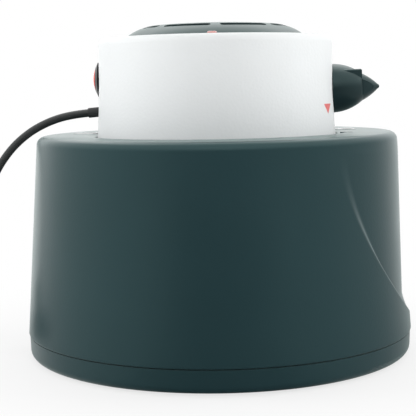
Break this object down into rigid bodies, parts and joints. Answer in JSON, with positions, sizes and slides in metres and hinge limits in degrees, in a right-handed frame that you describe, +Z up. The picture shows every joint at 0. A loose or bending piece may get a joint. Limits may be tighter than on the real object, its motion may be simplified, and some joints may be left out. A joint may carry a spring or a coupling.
{
  "type": "wallpaper steamer",
  "caption": "Round water tank with a twist-on electric steam head, slotted vent cap, control knob, rocker switch and coiled mains cord.",
  "frame": {"origin": "centre of the round base on the surface that the rubber feet stand on", "axes": "+Z up along the tank's axis, +X to the side with the control knob, -X to the side with the switch and the mains cord, -Y to the front"},
  "size_m": [0.5004, 0.3537, 0.2725],
  "materials": {
    "tank_plastic": "fine satin grain, dark green-grey",
    "cap_plastic": "satin, dark green-grey",
    "white_plastic": "matt white",
    "black_plastic": "satin black",
    "liner_plastic": "natural translucent white",
    "cream_plastic": "pale moulded resin",
    "clear_plastic": "clear to smoky",
    "red_plastic": "translucent red",
    "red_lens": "translucent red, polished",
    "black_rubber": "matt",
    "cord_rubber": "matt flexible sheath",
    "grey_silicone": "smooth silicone",
    "tie_fabric": "hook and loop band",
    "stainless": "brushed stainless steel",
    "element_sheath": "dull sheath",
    "zinc_steel": "zinc plated",
    "nickel": "nickel plated",
    "brass": "machined brass"
  },
  "bodies": {
    "tank": {"tank_shell": "tank_plastic", "base_tray": "tank_plastic", "base_screws": "zinc_steel", "foot_front_left": "black_rubber", "foot_front_right": "black_rubber", "foot_back_left": "black_rubber", "foot_back_right": "black_rubber", "water_tank": "liner_plastic", "tank_seal": "grey_silicone", "tank_screws": "zinc_steel", "neck_ring": "black_plastic", "neck_screws": "zinc_steel"},
    "lift_ring": {"neck_seal": "grey_silicone"},
    "head": {"head_housing": "white_plastic", "head_floor": "black_plastic", "head_screws": "zinc_steel", "boiler_tube": "stainless", "inlet_strainer": "black_plastic", "heating_element": "element_sheath", "heater_gasket": "grey_silicone", "heater_plate": "brass", "heater_screws": "zinc_steel", "thermal_cutout": "black_plastic", "steam_pipe": "brass", "relief_pipe": "brass", "relief_valve": "brass", "outlet_dish": "cap_plastic", "dish_screws": "zinc_steel", "hose_spigot": "brass", "spigot_nut": "brass", "regulator": "cream_plastic", "regulator_nut": "zinc_steel", "switch_body": "black_plastic", "indicator_lens": "red_lens", "indicator_lamp": "clear_plastic", "cord_gland": "black_rubber", "cord_tail": "cord_rubber", "clamp_block": "black_plastic", "cord_clamp": "zinc_steel", "clamp_screws": "zinc_steel", "terminal_block": "cream_plastic", "mains_cord": "cord_rubber", "cord_coil": "cord_rubber", "plug_lead": "cord_rubber", "cord_tie": "tie_fabric", "mains_plug": "black_rubber", "plug_pins": "nickel"},
    "cap": {"vent_cap": "cap_plastic"},
    "knob": {"regulator_knob": "cap_plastic", "regulator_shaft": "zinc_steel"},
    "rocker": {"switch_rocker": "red_plastic"}
  },
  "joints": [
    {"name": "head_lift", "type": "slide", "parent": "tank", "child": "lift_ring", "axis": [0, 0, 1], "range_m": [0, 0.2]},
    {"name": "head_turn", "type": "hinge", "parent": "lift_ring", "child": "head", "pos_m": [0, 0, 0.17], "axis": [0, 0, 1], "range_deg": [0, 35]},
    {"name": "cap_lift", "type": "slide", "parent": "head", "child": "cap", "axis": [0, 0, 1], "range_m": [0, 0.15]},
    {"name": "knob_turn", "type": "hinge", "parent": "head", "child": "knob", "pos_m": [0.09473, 0, 0.2172], "axis": [0.9995, 0, 0.0307], "range_deg": [-135, 135]},
    {"name": "switch_rock", "type": "hinge", "parent": "head", "child": "rocker", "pos_m": [-0.0967, 0, 0.2277], "axis": [0, 0, 1], "range_deg": [0, 12]}
  ]
}
